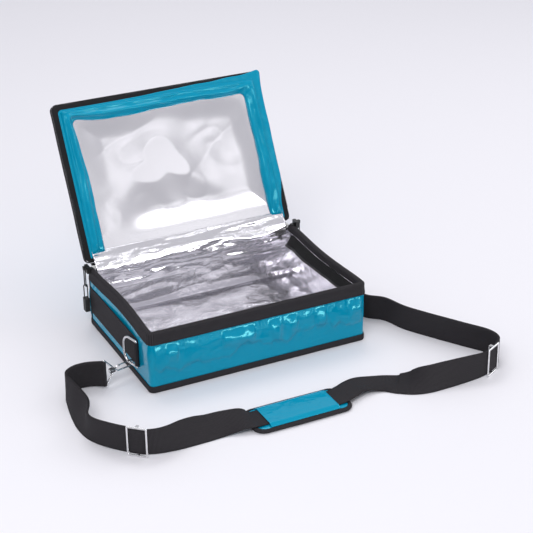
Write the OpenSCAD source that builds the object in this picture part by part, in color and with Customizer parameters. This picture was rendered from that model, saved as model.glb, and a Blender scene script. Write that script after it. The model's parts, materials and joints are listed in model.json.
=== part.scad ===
// Insulated cooler bag with a zip-round lid standing open, and a clipped-on shoulder strap.
// Frame: origin at the middle of the bag's base on the floor, +Z up, the front faces -Y.

/* [Bag] */
// Width of the closed bag
bag_w = 400; // [390:1:410]
// Depth of the closed bag, front to back
bag_d = 282; // [276:1:288]
// Height of the open tub
bag_h = 110; // [106:1:120]
// Radius of the upright corners
corner_r = 10; // [9.5:0.5:14]

/* [Wall layers] */
// Thickness of the coated outer fabric
skin_t = 0.8; // [0.6:0.1:1]
// Thickness of the foam slabs
foam_t = 6; // [5:0.5:7]
// Thickness of the foil lining
liner_t = 0.6; // [0.4:0.1:0.8]
// Thickness of the bound webbing edges
binding_t = 1; // [0.8:0.1:1.2]
// Thickness of the stiffening board in the base
board_t = 2; // [1.5:0.5:3]
// Depth of the folded webbing round the rim
rim_h = 22; // [18:1:26]
// Height of the bound edge round the base
base_h = 12; // [10:1:15]

/* [Lid] */
// Angle the lid stands open from closed
lid_open = 118.5; // [95:0.5:130]
// Thickness of the lid panel
lid_t = 12; // [10:0.5:14]
// Depth of the padded border that plugs the mouth
flap_t = 11; // [9:0.5:12]
// Width of the padded border
flap_w = 27; // [24:1:36]

/* [Zip] */
// Width of each zip tape
tape_w = 22; // [18:1:24]
// Thickness of each zip tape
tape_t = 0.8; // [0.6:0.1:1]
// Length of a zip slider
slider_l = 16; // [14:1:20]

/* [Webbing and hardware] */
// Width of the side belts
web_w = 50; // [48:1:50]
// Width of the shoulder strap
strap_w = 45; // [42:1:46]
// Thickness of the webbing
web_t = 1.5; // [1.2:0.1:1.6]
// Wire diameter of the D-rings
ring_wire = 4; // [3.6:0.1:4.2]
// Wire diameter of the snap hooks
hook_wire = 2.8; // [2.4:0.1:2.8]
// Wire diameter of the strap rings and adjusters
frame_wire = 3.2; // [2.8:0.1:3.2]

/* [Shoulder pad] */
// Length of the pad
pad_l = 174; // [170:1:190]
// Width of the pad
pad_w = 72; // [70:1:80]
// Length of the sleeve that holds the strap
sleeve_l = 122; // [110:1:130]

/* [Hidden] */
$fn = 48;

blue = [0, 0.55, 0.78];
foil = [0.78, 0.78, 0.8];
black = [0.08, 0.08, 0.09];
steel = [0.75, 0.75, 0.77];
foam_grey = [0.9, 0.9, 0.88];

// How far in each wall layer starts from the bag's outside
skin_in = binding_t;
foam_in = skin_in + skin_t + 0.05;
liner_in = foam_in + foam_t;
band_in = liner_in + liner_t;
tape_in = band_in + binding_t + 0.2;

// Heights of the base layers and of the wall's top edge
board_z = 1;
base_foam_z = board_z + board_t;
floor_z = base_foam_z + foam_t;
wall_top = bag_h - binding_t;

// The hinge line of the lid, and where the zip stops short of it
hinge_y = bag_d / 2 + 0.5;
lid_gap = 3;
hinge_z = bag_h + lid_gap;
zip_rear = bag_d / 2 - 24;
lid_top = hinge_z + lid_t;
lid_zip_z = hinge_z - 0.8;
flap_in = 12.5;

// ---------------------------------------------------------------- outlines and helpers

// Outline of the bag, set in all round by inset.
module outline(inset) {
    r = max(corner_r - inset, 0.5);
    w = bag_w - 2 * inset;
    d = bag_d - 2 * inset;
    square([w - 2 * r, d], center = true);
    square([w, d - 2 * r], center = true);
    for (x = [-1, 1], y = [-1, 1])
        translate([x * (w / 2 - r), y * (d / 2 - r)]) circle(r);
}

// Upright strip that follows the outline, from height z0 to z1, between y0 and y1.
module strip(inset, t, z0, z1, y0 = -bag_d, y1 = bag_d) {
    translate([0, 0, z0]) linear_extrude(z1 - z0) intersection() {
        difference() {
            outline(inset);
            outline(inset + t);
        }
        translate([-bag_w, y0]) square([2 * bag_w, y1 - y0]);
    }
}

// Flat sheet of the bag's outline.
module sheet(inset, z0, t) {
    translate([0, 0, z0]) linear_extrude(t) outline(inset);
}

// Box between two corners.
module block(a, b) {
    translate(a) cube(b - a);
}

// Round rod between two points.
module rod(a, b, d) {
    v = b - a;
    translate(a) rotate([0, acos(v[2] / norm(v)), atan2(v[1], v[0])]) cylinder(h = norm(v), d = d);
}

// Wire bent through a list of points, with round joints a hair fuller than the wire.
module wire(points, d) {
    for (i = [1 : len(points) - 1]) rod(points[i - 1], points[i], d);
    for (p = points) translate(p) sphere(d = 1.02 * d);
}

// Wire arc in the YZ plane about the origin, from angle a0 through sweep.
module arc(r, d, a0, sweep) {
    rotate([0, 90, 0]) rotate([0, 0, 90]) rotate([0, 0, a0])
        rotate_extrude(angle = sweep) translate([r, 0]) circle(d = d, $fn = 24);
}

// Places a part on the bag's left or, turned half round, on its right.
module on_side(side) {
    rotate([0, 0, side == "left" ? 0 : 180]) children();
}

// Turns the lid from closed to where it stands.
module on_lid() {
    translate([0, hinge_y, hinge_z]) rotate([-lid_open, 0, 0])
        translate([0, -hinge_y, -hinge_z]) children();
}

// ---------------------------------------------------------------- tub

module base_skin() { color(blue) sheet(skin_in, 0, board_z); }
module base_board() { color(black) sheet(liner_in, board_z, board_t); }
module base_foam() { color(foam_grey) sheet(liner_in, base_foam_z, foam_t); }

corner_y = bag_d / 2 - corner_r;
module wall_shell() { color(blue) strip(skin_in, skin_t, board_z, wall_top, y1 = corner_y); }
module back_panel() { color(blue) strip(skin_in, skin_t, board_z, wall_top, y0 = corner_y); }

// One slab of the foam ring: the long slabs fit between the two at the sides.
module foam_slab(a, b) {
    color(foam_grey) intersection() {
        strip(foam_in, foam_t, board_z, wall_top);
        block(concat(a, 0), concat(b, bag_h));
    }
}
foam_x = bag_w / 2 - liner_in;
foam_y = bag_d / 2 - liner_in;
module foam_front() { foam_slab([-foam_x, -bag_d], [foam_x, -foam_y]); }
module foam_back() { foam_slab([-foam_x, foam_y], [foam_x, bag_d]); }
module foam_left() { foam_slab([-bag_w, -bag_d], [-foam_x, bag_d]); }
module foam_right() { foam_slab([foam_x, -bag_d], [bag_w, bag_d]); }

module liner() {
    color(foil) {
        sheet(liner_in, floor_z, liner_t);
        strip(liner_in, liner_t, floor_z, wall_top);
    }
}

// Webbing folded over the top of the side and front walls.
module rim_binding() {
    color(black) {
        strip(0, binding_t, bag_h - rim_h, bag_h, y1 = corner_y);
        strip(band_in, binding_t, bag_h - rim_h, bag_h, y1 = corner_y);
        strip(0, band_in + binding_t, wall_top, bag_h, y1 = corner_y);
    }
}

module base_binding() { color(black) strip(0, binding_t, 0.3, base_h); }

// Webbing over an upright rear corner seam.
module corner_binding(side) {
    x = side == "left" ? -1 : 1;
    color(black) intersection() {
        strip(0, binding_t, base_h, bag_h - rim_h, y0 = bag_d / 2 - base_h);
        translate([x * bag_w / 2, bag_d / 2, bag_h / 2])
            cube([2 * base_h, 2 * base_h, 2 * bag_h], center = true);
    }
}
module corner_binding_left() { corner_binding("left"); }
module corner_binding_right() { corner_binding("right"); }

// Fabric along the back that the lid turns on, and the foil fold inside it.
module hinge_strip() { color(black) strip(0, binding_t, bag_h - rim_h, hinge_z - 1, y0 = corner_y); }
gusset_in = band_in + 0.2;
module foil_gusset() {
    color(foil) block(
        [-bag_w / 2 + flap_in, bag_d / 2 - gusset_in - 1.2, 60],
        [bag_w / 2 - flap_in, bag_d / 2 - gusset_in, hinge_z - 1]);
}

// The tub's half of the zip hangs inside the rim, with its teeth along the lower edge.
tooth_h = 3;
module zip_tape_body() {
    color(black) strip(tape_in, tape_t, wall_top - tape_w, wall_top - 0.4, y1 = zip_rear);
}
module zip_teeth_body() {
    color(black) strip(tape_in - 0.8, 2.2, wall_top - tape_w - tooth_h, wall_top - tape_w, y1 = zip_rear);
}

// ---------------------------------------------------------------- side belts and D-rings

// The belt lies on the side wall and folds round the straight bar of a D-ring.
belt_z = 26;
bar_r = ring_wire / 2 + 0.4;
bar_x = -bag_w / 2 + skin_in - 0.1 - web_t - bar_r;
bar_y = -92;
fold_in = 4;
belt_rear = bag_d / 2 - base_h - 0.2;
module belt_plan_main() {
    translate([bar_x + bar_r, bar_y]) square([web_t, belt_rear - bar_y]);
}
module belt_plan_fold() {
    translate([bar_x, bar_y]) intersection() {
        difference() {
            circle(bar_r + web_t);
            circle(bar_r);
        }
        translate([-20, -20]) square([40, 20]);
    }
    // the doubled end, which slants back in to the wall
    polygon([
        [bar_x - bar_r - web_t, bar_y], [bar_x - bar_r, bar_y],
        [bar_x + bar_r - 0.1, bar_y + 14], [bar_x + bar_r - 0.1, bar_y + 30],
        [bar_x + bar_r - 0.1 - web_t, bar_y + 30], [bar_x + bar_r - 0.1 - web_t, bar_y + 13]
    ]);
}
module belt(side) {
    color(black) on_side(side) {
        translate([0, 0, belt_z]) linear_extrude(web_w) belt_plan_main();
        translate([0, 0, belt_z + fold_in]) linear_extrude(web_w - 2 * fold_in) belt_plan_fold();
    }
}
module belt_left() { belt("left"); }
module belt_right() { belt("right"); }

// The D-ring in its own plane: the bar on the Z axis, the bow towards +Y.
ring_half = web_w / 2 - fold_in + 0.6 + ring_wire / 2;
ring_leg = 19;
bow_r = 16;
ring_lean = 14;
ring_z = belt_z + web_w / 2;
module d_ring_shape() {
    straight = ring_half - bow_r;
    rod([0, 0, -ring_half], [0, 0, ring_half], ring_wire);
    for (s = [-1, 1]) {
        translate([0, 0, s * ring_half]) sphere(d = ring_wire);
        rod([0, 0, s * ring_half], [0, ring_leg, s * ring_half], ring_wire);
    }
    translate([0, ring_leg, straight]) arc(bow_r, ring_wire, 0, 90);
    translate([0, ring_leg, -straight]) arc(bow_r, ring_wire, -90, 90);
    rod([0, ring_leg + bow_r, -straight], [0, ring_leg + bow_r, straight], ring_wire);
}
module d_ring(side) {
    color(steel) on_side(side) translate([bar_x, bar_y, ring_z])
        rotate([0, 0, ring_lean]) d_ring_shape();
}
module d_ring_left() { d_ring("left"); }
module d_ring_right() { d_ring("right"); }

// ---------------------------------------------------------------- snap hooks

// Each hook's own frame starts at the wire that it grips, with +X towards the strap.
// The left one grips the D-ring's lower leg and the right one its upright bow.
grip_left = [
    bar_x - ring_leg * sin(ring_lean),
    bar_y + ring_leg * cos(ring_lean),
    ring_z - ring_half
];
bow_out = ring_leg + bow_r;
grip_right = [-bar_x + bow_out * sin(ring_lean), -bar_y - bow_out * cos(ring_lean), 44];
hook_turn_left = [0, 0, 180 + ring_lean];
hook_turn_right = [90, 17, -72];
hook_gap = 7;
hook_r = (hook_gap + hook_wire) / 2;
nose_x = -(ring_wire / 2 + 0.9 + hook_wire / 2) + hook_r;
heel_x = 25;
swivel_x = 37;
swivel_l = 8;
swivel_r = 4.5;
gate_x = 8;
module at_hook(side) {
    translate(side == "left" ? grip_left : grip_right)
        rotate(side == "left" ? hook_turn_left : hook_turn_right) children();
}

// Wire arc in the XZ plane about the origin.
module side_arc(r, d, a0, sweep) { rotate([0, 0, -90]) arc(r, d, a0, sweep); }

module hook(side) {
    color(steel) at_hook(side) {
        translate([nose_x, 0, 0]) side_arc(hook_r, hook_wire, 90, 180);
        rod([nose_x, 0, hook_r], [gate_x - 1.5, 0, hook_r], hook_wire);
        rod([nose_x, 0, -hook_r], [heel_x, 0, -hook_r], hook_wire);
        translate([heel_x, 0, 0]) side_arc(hook_r, hook_wire, -90, 150);
        rod([heel_x + hook_r, 0, 0], [swivel_x + swivel_l / 2 + 1.5, 0, 0], hook_wire);
        translate([swivel_x + swivel_l / 2 + 0.3, 0, 0]) rotate([0, 90, 0]) cylinder(h = 1.4, r = 2.8);
    }
}
module hook_left() { hook("left"); }
module hook_right() { hook("right"); }

// Sprung gate along the upper side, pivoting at the heel.
gate_d = 2.2;
module hook_gate(side) {
    color(steel) at_hook(side) {
        rod([gate_x, 0, hook_r], [heel_x - 1, 0, hook_r], gate_d);
        translate([heel_x - 1, 0, hook_r]) rotate([90, 0, 0]) cylinder(h = 3.6, r = 1.3, center = true);
    }
}
module hook_gate_left() { hook_gate("left"); }
module hook_gate_right() { hook_gate("right"); }

// Swivel barrel that the hook's stem turns in.
module swivel(side) {
    color(black) at_hook(side) translate([swivel_x, 0, 0]) rotate([0, 90, 0]) difference() {
        cylinder(h = swivel_l, r = swivel_r, center = true);
        cylinder(h = swivel_l + 2, r = hook_wire / 2 + 0.35, center = true);
    }
}
module swivel_left() { swivel("left"); }
module swivel_right() { swivel("right"); }

// Triangular wire ring behind the swivel, with the strap round its upright bar.
ring_reach = 15;
module strap_ring(side) {
    turn = side == "left" ? hook_turn_left : hook_turn_right;
    grip = side == "left" ? grip_left : grip_right;
    along = swivel_x * cos(turn[1]);
    z = grip[2] - swivel_x * sin(turn[1]);
    low = frame_wire / 2 - z;
    high = low + strap_w + 0.6 + frame_wire;
    arm_z = swivel_r / cos(turn[1]) + frame_wire / 2 + 0.25;
    color(steel) translate([grip[0], grip[1], z]) rotate([0, 0, turn[2]]) translate([along, 0, 0]) wire([
        [0, 0, arm_z], [ring_reach, 0, high], [ring_reach, 0, low], [0, 0, -arm_z]
    ], frame_wire);
}
module strap_ring_left() { strap_ring("left"); }
module strap_ring_right() { strap_ring("right"); }

// ---------------------------------------------------------------- shoulder strap

// Route of the strap's resting edge: x, y, lean (90 on edge, 0 flat and towards the
// bag) and height off the floor, from the left ring round the front to the right ring.
lift = frame_wire + 0.4;
pad_lift = 8.8;
strap_route = [
    [-257, -83.5, 90, lift], [-282, -71, 90, 2], [-306, -69, 90, 0], [-325, -85, 89, 0],
    [-333, -114, 76, 0], [-340, -155, 58, 0], [-342, -190, 66, 0], [-336, -224, 90, 0],
    [-316, -262, 91, 2], [-286, -298, 90, lift], [-264, -309, 90, 3], [-238, -312, 82, 1],
    [-208, -313, 62, 0], [-172, -313, 38, 0], [-142, -313, 28, 2], [-113, -319, 14, pad_lift],
    [-90, -322, 0, pad_lift], [-40, -322, 0, pad_lift], [10, -322, 0, pad_lift],
    [54, -322, 0, pad_lift], [82, -314, 0, pad_lift], [108, -305, 0, pad_lift], [136, -308, 3, 2],
    [154, -323, 16, 0], [178, -339, 33, 0], [206, -346, 58, 0], [245, -346, 70, 0],
    [285, -346, 82, 2], [308, -344, 89, lift], [326, -337, 90, lift], [345, -325, 90, 3],
    [361, -305, 90, 1], [360, -276, 90, 0], [336, -236, 90, 0], [302, -180, 90, 0],
    [279, -138, 90, 0], [265, -95, 90, 0], [242, -71, 90, 0], [231, -40, 90, 1],
    [230, 10, 90, lift]
];
left_adjuster = 9;
right_adjuster = 29;

// Smooth curve through the route (Catmull-Rom) at the place u, counted in points.
function route_at(u, r = strap_route) =
    let (i = min(floor(u), len(r) - 2), t = u - i,
         p0 = r[max(i - 1, 0)], p1 = r[i], p2 = r[i + 1], p3 = r[min(i + 2, len(r) - 1)])
    0.5 * (2 * p1 + (p2 - p0) * t + (2 * p0 - 5 * p1 + 4 * p2 - p3) * t * t
        + (3 * p1 - p0 - 3 * p2 + p3) * t * t * t);
function heading(u) =
    let (a = route_at(max(u - 0.05, 0)), b = route_at(min(u + 0.05, len(strap_route) - 1)),
         v = [b[0] - a[0], b[1] - a[1], 0])
    v / norm(v);

// Corners of the webbing's section at u, moved side mm off the long piece's middle.
function web_section(u, side) =
    let (p = route_at(u), h = heading(u), inward = [-h[1], h[0], 0],
         lean = max(p[2], 0),
         across = inward * cos(lean) + [0, 0, sin(lean)],
         face = inward * sin(lean) - [0, 0, cos(lean)],
         lift = min(max(p[3], 0), pad_lift),
         foot = [p[0], p[1], lift + web_t / 2 * abs(cos(lean))] + inward * side / max(sin(lean), 0.5))
    [for (c = [[0, -1], [0, 1], [1, 1], [1, -1]])
        foot + across * strap_w * c[0] + face * web_t / 2 * c[1]];

// Webbing swept along the places in the list, moved sideways by the offset at each.
module webbing(places, offsets) {
    n = len(places);
    points = [for (k = [0 : n - 1]) each web_section(places[k], offsets[k])];
    faces = concat(
        [[3, 2, 1, 0]],
        [for (k = [0 : n - 2], j = [0 : 3])
            let (a = 4 * k + j, b = 4 * k + (j + 1) % 4)
            each (j == 3 ? [[a, b, a + 4], [b, b + 4, a + 4]] : [[a, b, b + 4], [a, b + 4, a + 4]])],
        [[4 * n - 4, 4 * n - 3, 4 * n - 2, 4 * n - 1]]);
    polyhedron(points, faces);
}

// The long piece goes from ring to ring on the outer side of each doubled end.
strap_steps = 78;
strap_last = len(strap_route) - 1;
module strap() {
    places = [for (k = [0 : strap_steps]) strap_last * k / strap_steps];
    color(black) webbing(places, [for (p = places) 0]);
}

// Each doubled end lies inside the long piece, from the ring to the adjuster's bar.
layer = web_t + 0.5;
ring_loop = 2 * (frame_wire / 2 + 0.4) + web_t;
function layer_offset(k) = layer + (ring_loop - layer) * exp(-k * 1.6);
module strap_return_left() {
    places = concat([for (k = [0 : 2 * left_adjuster - 1]) k / 2], left_adjuster - 0.35);
    color(black) webbing(places, [for (p = places) layer_offset(p)]);
}
module strap_return_right() {
    places = concat(right_adjuster + 0.35, [for (k = [2 * right_adjuster + 1 : strap_steps]) k / 2]);
    color(black) webbing(places, [for (p = places) layer_offset(strap_last - p)]);
}

// ---------------------------------------------------------------- strap adjusters

// Wire frame outside the strap and its bar inside, in the strap's own direction.
adjuster_l = 34;
module at_adjuster(place) {
    p = route_at(place);
    h = heading(place);
    translate([p[0], p[1], 0]) rotate([0, 0, atan2(h[1], h[0])]) children();
}
frame_y = -(web_t / 2 + frame_wire / 2 + 0.3);
middle_y = layer + web_t / 2 + frame_wire / 2 + 0.3;
frame_low = frame_wire / 2;
frame_high = lift + strap_w + 0.4 + frame_wire / 2;
module adjuster(place) {
    x = (adjuster_l - frame_wire) / 2;
    color(steel) at_adjuster(place) wire([
        [-x, frame_y, frame_low], [x, frame_y, frame_low], [x, frame_y, frame_high],
        [-x, frame_y, frame_high], [-x, frame_y, frame_low]
    ], frame_wire);
}
module adjuster_left() { adjuster(left_adjuster); }
module adjuster_right() { adjuster(right_adjuster); }

// The middle bar passes behind the strap and its flat tips reach the frame's rails.
module adjuster_bar(place) {
    color(steel) at_adjuster(place) {
        rod([0, middle_y, frame_low], [0, middle_y, frame_high], frame_wire);
        for (z = [0.2, frame_high - 1.2])
            block([-2.4, frame_y + frame_wire / 2 + 0.05, z], [2.4, middle_y, z + 2.4]);
    }
}
module adjuster_bar_left() { adjuster_bar(left_adjuster); }
module adjuster_bar_right() { adjuster_bar(right_adjuster); }

// ---------------------------------------------------------------- shoulder pad

pad_x = -15;
pad_y = -299.5;
pad_r = 20;
module pad_plan(inset) {
    r = pad_r - inset;
    l = pad_l - 2 * inset;
    w = pad_w - 2 * inset;
    translate([pad_x, pad_y]) {
        square([l - 2 * r, w], center = true);
        square([l, w - 2 * r], center = true);
        for (x = [-1, 1], y = [-1, 1]) translate([x * (l / 2 - r), y * (w / 2 - r)]) circle(r);
    }
}
module pad_sheet(inset, z0, z1) { translate([0, 0, z0]) linear_extrude(z1 - z0) pad_plan(inset); }
pad_foam_z = 1;
pad_cover_z = pad_lift - 1.2;
pad_top = pad_cover_z + skin_t;
module pad_base() { color(blue) pad_sheet(0.6, 0, pad_foam_z); }
module pad_foam() { color(foam_grey) pad_sheet(4, pad_foam_z, pad_cover_z); }
module pad_cover() { color(blue) pad_sheet(4, pad_cover_z, pad_top); }
module pad_binding() {
    color(black) difference() {
        pad_sheet(0, pad_foam_z, pad_top);
        translate([0, 0, -1]) linear_extrude(2 * pad_top) pad_plan(4);
    }
}

// The pad's top fabric between its two slits, which the strap passes under.
sleeve_in = 1.6;
sleeve_low = pad_y - strap_w / 2 - sleeve_in;
sleeve_high = pad_y + strap_w / 2 + sleeve_in;
sleeve_z = pad_lift + web_t + 0.5;
module pad_sleeve() {
    x0 = pad_x - sleeve_l / 2;
    x1 = pad_x + sleeve_l / 2;
    color(blue) {
        block([x0, sleeve_low - skin_t, sleeve_z], [x1, sleeve_high + skin_t, sleeve_z + skin_t]);
        block([x0, sleeve_low - skin_t, pad_top], [x1, sleeve_low, sleeve_z]);
        block([x0, sleeve_high, pad_top], [x1, sleeve_high + skin_t, sleeve_z]);
    }
}

// ---------------------------------------------------------------- lid, drawn closed

module lid_skin() { color(blue) on_lid() sheet(binding_t, lid_top - binding_t - skin_t, skin_t); }
module lid_foam() {
    color(foam_grey) on_lid() sheet(3, hinge_z, lid_t - binding_t - skin_t);
}
module lid_liner() { color(foil) on_lid() sheet(11.5, hinge_z - liner_t, liner_t); }

// Webbing round the lid's edge, folded over its outer face.
module lid_binding() {
    color(black) on_lid() {
        strip(0, binding_t, hinge_z + 1.4, lid_top);
        strip(0, 10, lid_top - binding_t, lid_top);
    }
}

// Padded border strips that plug the mouth when the lid is shut.
flap_top = hinge_z - liner_t;
flap_x = bag_w / 2 - flap_in;
flap_y = bag_d / 2 - flap_in;
module flap_arm(x) {
    color(blue) on_lid()
        block([min(x, x + flap_w), -flap_y, flap_top - flap_t], [max(x, x + flap_w), flap_y, flap_top]);
}
module flap_left() { flap_arm(-flap_x); }
module flap_right() { flap_arm(flap_x - flap_w); }
module flap_front() {
    color(blue) on_lid() block(
        [-flap_x + flap_w, -flap_y, flap_top - flap_t], [flap_x - flap_w, -flap_y + flap_w, flap_top]);
}

module zip_tape_lid() { color(black) on_lid() strip(2.6, 8.6, lid_zip_z, hinge_z, y1 = zip_rear); }
module zip_teeth_lid() { color(black) on_lid() strip(0.4, 2.2, lid_zip_z, hinge_z + 1.2, y1 = zip_rear); }

// ---------------------------------------------------------------- zip sliders and pulls

// A slider straddles the zip in the gap under the lid, at the rear of each side.
slider_x = -bag_w / 2 - 0.4;
slider_y = bag_d / 2 - 14;
pull_wire = 2;
bridge_x = slider_x - 8.5;
bridge_z = hinge_z + 1;
module slider_shape() {
    block([slider_x - 6, slider_y - slider_l / 2, bag_h - 5], [slider_x, slider_y + slider_l / 2, bag_h + 7]);
    block([slider_x, slider_y - 3.6, bag_h + 0.3], [slider_x + 7, slider_y + 3.6, bag_h + 1.7]);
    // bridge that the pull hangs in
    difference() {
        block([bridge_x - 2.6, slider_y - 2.4, bridge_z - 3], [slider_x - 6, slider_y + 2.4, bridge_z + 3]);
        translate([bridge_x, slider_y, bridge_z]) rotate([90, 0, 0])
            cylinder(h = 10, r = pull_wire / 2 + 0.35, center = true);
    }
}
module mirrored(side) { mirror([side == "left" ? 0 : 1, 0, 0]) children(); }
module slider_left() { color(black) mirrored("left") slider_shape(); }
module slider_right() { color(black) mirrored("right") slider_shape(); }

// Long wire bail that hangs in the slider's bridge.
bail_l = 34;
bail_w = 7.5;
module bail_shape() {
    y0 = slider_y - bail_w / 2;
    y1 = slider_y + bail_w / 2;
    z0 = bridge_z - bail_l;
    wire([
        [bridge_x, y0, bridge_z], [bridge_x, y1, bridge_z], [bridge_x, y1, z0],
        [bridge_x, y0, z0], [bridge_x, y0, bridge_z]
    ], pull_wire);
}
module pull_bail_left() { color(black) mirrored("left") bail_shape(); }
module pull_bail_right() { color(black) mirrored("right") bail_shape(); }

// Cord loop through the bail with a moulded grip on its ends.
cord_d = 2;
tag_size = [3.6, 12, 25];
cord_l = 27;
module tag_shape() {
    z0 = bridge_z - bail_l;
    top = z0 + pull_wire / 2 + cord_d / 2 + 0.3;
    low = top - cord_l;
    wire([
        [bridge_x - 3.2, slider_y, low], [bridge_x - 3.2, slider_y, top - 2],
        [bridge_x - 1.2, slider_y, top], [bridge_x + 1.2, slider_y, top],
        [bridge_x + 3.2, slider_y, top - 2], [bridge_x + 3.2, slider_y, low]
    ], cord_d);
    translate([bridge_x, slider_y, low - tag_size[2] / 2 + 1])
        cube([tag_size[0] + 4.8, tag_size[1], tag_size[2]], center = true);
}
module pull_tag_left() { color(black) mirrored("left") tag_shape(); }
module pull_tag_right() { color(black) mirrored("right") tag_shape(); }

// ---------------------------------------------------------------- nodes

base_skin();
base_board();
base_foam();
wall_shell();
back_panel();
foam_front();
foam_back();
foam_left();
foam_right();
liner();
rim_binding();
base_binding();
corner_binding_left();
corner_binding_right();
hinge_strip();
foil_gusset();
zip_tape_body();
zip_teeth_body();
belt_left();
belt_right();
lid_skin();
lid_foam();
lid_liner();
lid_binding();
flap_left();
flap_front();
flap_right();
zip_tape_lid();
zip_teeth_lid();
slider_left();
slider_right();
pull_bail_left();
pull_bail_right();
pull_tag_left();
pull_tag_right();
d_ring_left();
d_ring_right();
hook_left();
hook_right();
hook_gate_left();
hook_gate_right();
swivel_left();
swivel_right();
strap_ring_left();
strap_ring_right();
strap();
strap_return_left();
strap_return_right();
adjuster_left();
adjuster_right();
adjuster_bar_left();
adjuster_bar_right();
pad_base();
pad_foam();
pad_cover();
pad_sleeve();
pad_binding();
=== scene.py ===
"""Looks of an insulated cooler bag with its lid open and its shoulder strap clipped on.

Lengths are in millimetres until a mesh is made. Parts of the lid are drawn closed, as in
the CAD source, and then turned open by on_lid().
"""

import json
import math

import bmesh
import bpy
import numpy as np
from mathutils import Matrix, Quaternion, Vector


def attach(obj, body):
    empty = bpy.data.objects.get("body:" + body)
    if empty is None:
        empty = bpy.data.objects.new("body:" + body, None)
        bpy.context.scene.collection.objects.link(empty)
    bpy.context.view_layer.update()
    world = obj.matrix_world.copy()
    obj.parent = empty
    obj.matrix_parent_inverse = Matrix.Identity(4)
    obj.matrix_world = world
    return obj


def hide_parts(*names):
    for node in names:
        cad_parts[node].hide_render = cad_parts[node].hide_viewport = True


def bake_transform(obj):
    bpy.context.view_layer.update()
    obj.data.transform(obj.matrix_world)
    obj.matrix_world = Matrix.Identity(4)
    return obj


MM = 0.001
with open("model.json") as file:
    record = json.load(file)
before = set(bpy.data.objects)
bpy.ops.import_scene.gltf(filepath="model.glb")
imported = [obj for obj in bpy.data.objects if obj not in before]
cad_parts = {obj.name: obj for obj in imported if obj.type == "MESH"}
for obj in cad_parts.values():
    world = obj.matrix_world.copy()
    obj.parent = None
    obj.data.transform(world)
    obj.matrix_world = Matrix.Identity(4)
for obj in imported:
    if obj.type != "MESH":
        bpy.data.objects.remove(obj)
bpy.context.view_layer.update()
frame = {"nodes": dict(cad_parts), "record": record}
nodes = frame["nodes"]

# The CAD source's main sizes
HALF_W, HALF_D, CORNER = 200.0, 141.0, 10.0
HINGE_Y, HINGE_Z, LID_T, LID_OPEN = 141.5, 113.0, 12.0, math.radians(118.5)
RIM_LOW, BASE_HIGH = 88.0, 12.0
STRAP_W, WEB_T, LIFT, PAD_LIFT = 45.0, 1.5, 3.6, 8.8
RING_WIRE, RING_GAP = 3.2, 0.4
PAD_X, PAD_Y, PAD_L, PAD_W, PAD_R = -15.0, -299.5, 174.0, 72.0, 20.0

# Thicknesses of the sheets drawn here; SKIN_IN is how far in from the outline the PVC lies
SKIN_T, FOIL_T, BAND_T, FOLD_T = 0.8, 0.5, 1.0, 0.5
TAPE_T, LID_TAPE_T, PAD_BAND_T, SLEEVE_T = 0.7, 0.6, 0.8, 0.7
SKIN_IN = 1.4
# How far the side walls sag inwards, and between which places along them
WALL_SAG, SAG_FRONT, SAG_REAR = 5.0, -118.0, 108.0


# ------------------------------------------------------------------ small helpers


def lerp(a, b, t):
    return a + (b - a) * t


def smooth(t):
    t = np.clip(t, 0.0, 1.0)
    return t * t * (3 - 2 * t)


def bump(t, middle, width):
    """A smooth hill of height 1 about middle."""
    return np.exp(-(((t - middle) / width) ** 2))


def _lattice(ix, iy, seed):
    """Fixed scramble of whole numbers into values from -1 to 1."""
    n = (ix * 374761393 + iy * 668265263 + seed * 1274126177) & 0xFFFFFFFF
    n = ((n ^ (n >> 13)) * 1274126177) & 0xFFFFFFFF
    return ((n ^ (n >> 16)) & 0xFFFF) / 32767.5 - 1.0


def noise(x, y, seed=0):
    """Smooth noise from -1 to 1, about one swing for each unit of x and y."""
    x, y = np.broadcast_arrays(np.asarray(x, float), np.asarray(y, float))
    fx, fy = np.floor(x), np.floor(y)
    ix, iy = fx.astype(np.int64), fy.astype(np.int64)
    tx, ty = smooth(x - fx), smooth(y - fy)
    low = lerp(_lattice(ix, iy, seed), _lattice(ix + 1, iy, seed), tx)
    high = lerp(_lattice(ix, iy + 1, seed), _lattice(ix + 1, iy + 1, seed), tx)
    return lerp(low, high, ty)


def wander(s, swing, seed):
    """Noise that changes along a line only, about one swing for each such length."""
    return noise(s / swing, 0.0, seed)


def folds(x, y, seed=0, octaves=3):
    """Crumpled sheet: sharp creases between soft facets, from about -1 to 1."""
    total, size, gain = 0.0, 1.0, 0.0
    for k in range(octaves):
        turn = 0.7 + 1.3 * k
        u = (x * math.cos(turn) - y * math.sin(turn)) * 1.9**k
        v = (x * math.sin(turn) + y * math.cos(turn)) * 1.9**k
        u = u + 0.6 * noise(v * 0.7, u * 0.7, seed + 50 + k)
        total = total + size * (1 - 3 * np.abs(noise(u, v, seed + k)))
        gain += size
        size *= 0.5
    return total / gain


def arc_length(line):
    """Distance of each point from the first, measured along the line."""
    step = np.linalg.norm(np.diff(line, axis=0), axis=1)
    return np.concatenate([[0], np.cumsum(step)])


def along_line(line, at, places):
    """Points of a line, or values given along it, at places between the lengths at."""
    return np.stack([np.interp(places, at, line[:, k]) for k in range(line.shape[1])], 1)


def with_height(xy, z):
    return np.concatenate([xy, z[..., None]], -1)


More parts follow.
